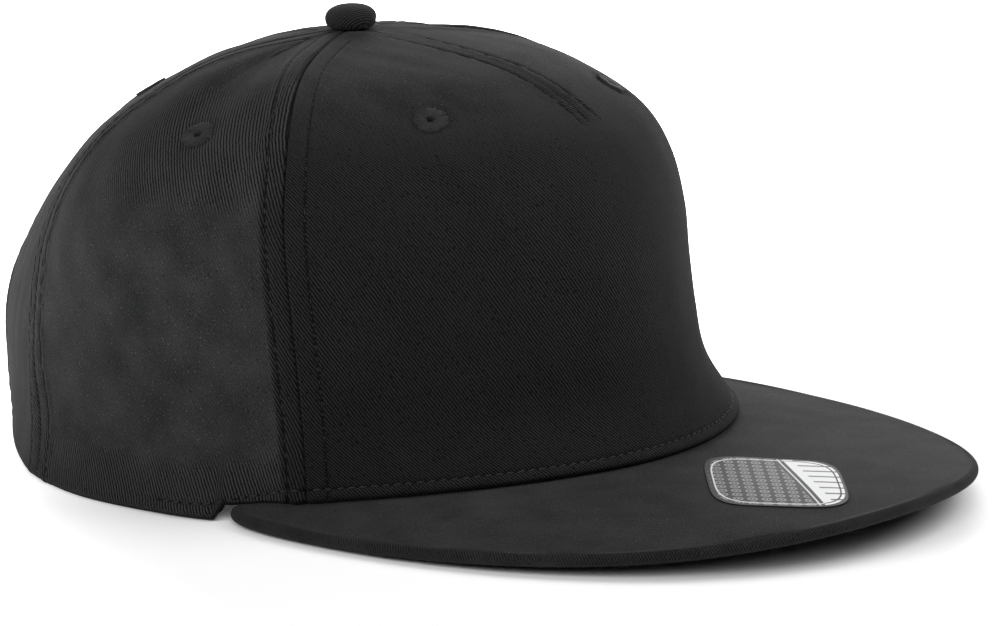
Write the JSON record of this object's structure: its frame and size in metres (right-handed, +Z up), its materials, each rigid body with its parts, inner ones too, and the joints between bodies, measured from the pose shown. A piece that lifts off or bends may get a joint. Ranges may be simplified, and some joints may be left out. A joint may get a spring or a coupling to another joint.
{
  "type": "snapback cap",
  "caption": "Cloth cap with a tall panelled crown, a nearly flat peak, stitched eyelets, a top button and a plastic snap strap over a rear arch.",
  "frame": {"origin": "middle of the head opening, straight under the top button, on the surface that the cap rests on", "axes": "-Y towards the tip of the peak, +X to the wearer's left, +Z up towards the top button"},
  "size_m": [0.189, 0.2724, 0.1083],
  "materials": {
    "twill": "charcoal cotton twill",
    "thread": "charcoal embroidery thread",
    "lining": "black cotton sweatband",
    "strap_plastic": "black moulded plastic, satin",
    "label_paper": "pale satin sticker film"
  },
  "bodies": {
    "root": {"crown_front_panel": "twill", "crown_side_panel_right": "twill", "crown_side_panel_left": "twill", "crown_back_panel_right": "twill", "crown_back_panel_left": "twill", "eyelet_front_right": "thread", "eyelet_front_left": "thread", "eyelet_side_right": "thread", "eyelet_side_left": "thread", "eyelet_back_right": "thread", "eyelet_back_left": "thread", "top_button": "twill", "peak": "twill", "peak_label": "label_paper", "sweatband": "lining", "snap_strap_holes": "strap_plastic", "snap_strap_pegs": "strap_plastic"}
  },
  "joints": []
}
